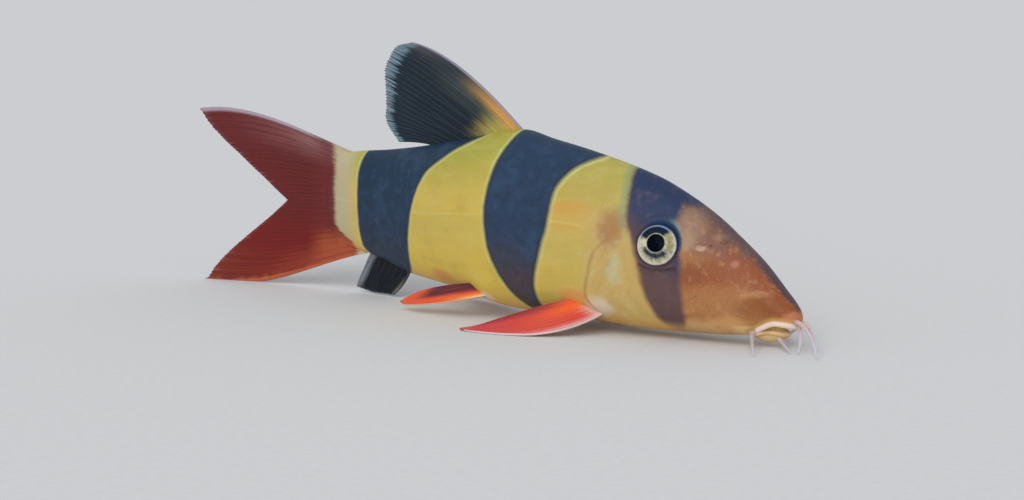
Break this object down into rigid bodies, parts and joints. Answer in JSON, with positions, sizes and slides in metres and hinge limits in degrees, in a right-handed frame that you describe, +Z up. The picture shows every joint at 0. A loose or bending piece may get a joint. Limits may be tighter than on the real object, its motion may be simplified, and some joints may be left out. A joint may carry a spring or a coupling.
{
  "type": "clown loach",
  "caption": "Banded freshwater fish at life size, resting nose down on its paired fins, anal fin and lower tail lobe, with barbels and a small downturned mouth.",
  "frame": {"origin": "on the floor, under the middle of the fish's bounding box", "axes": "+X forward to the snout, +Y the fish's left, +Z up"},
  "size_m": [0.1384, 0.0314, 0.047],
  "materials": {
    "head": "wet skin, orange-brown with a dark band through the eye",
    "trunk": "wet skin, yellow with dark slate bands",
    "tail_stalk": "wet skin, dark slate band and a cream-yellow edge",
    "eye": "glossy, pale iris round a dark pupil",
    "dark_fin": "satin membrane, blue-black with pale edges",
    "red_fin": "satin membrane, red with fine rays",
    "barbel": "soft wet skin, pinkish"
  },
  "bodies": {
    "root": {"head": "head", "trunk": "trunk", "tail_stalk": "tail_stalk", "eye_left": "eye", "eye_right": "eye", "dorsal_fin": "dark_fin", "anal_fin": "dark_fin", "caudal_fin_upper": "red_fin", "caudal_fin_lower": "red_fin", "pectoral_fin_left": "red_fin", "pectoral_fin_right": "red_fin", "pelvic_fin_left": "red_fin", "pelvic_fin_right": "red_fin", "barbel_rostral_outer_left": "barbel", "barbel_rostral_outer_right": "barbel", "barbel_rostral_inner_left": "barbel", "barbel_rostral_inner_right": "barbel", "barbel_maxillary_left": "barbel", "barbel_maxillary_right": "barbel", "barbel_mandibular_left": "barbel", "barbel_mandibular_right": "barbel"}
  },
  "joints": []
}
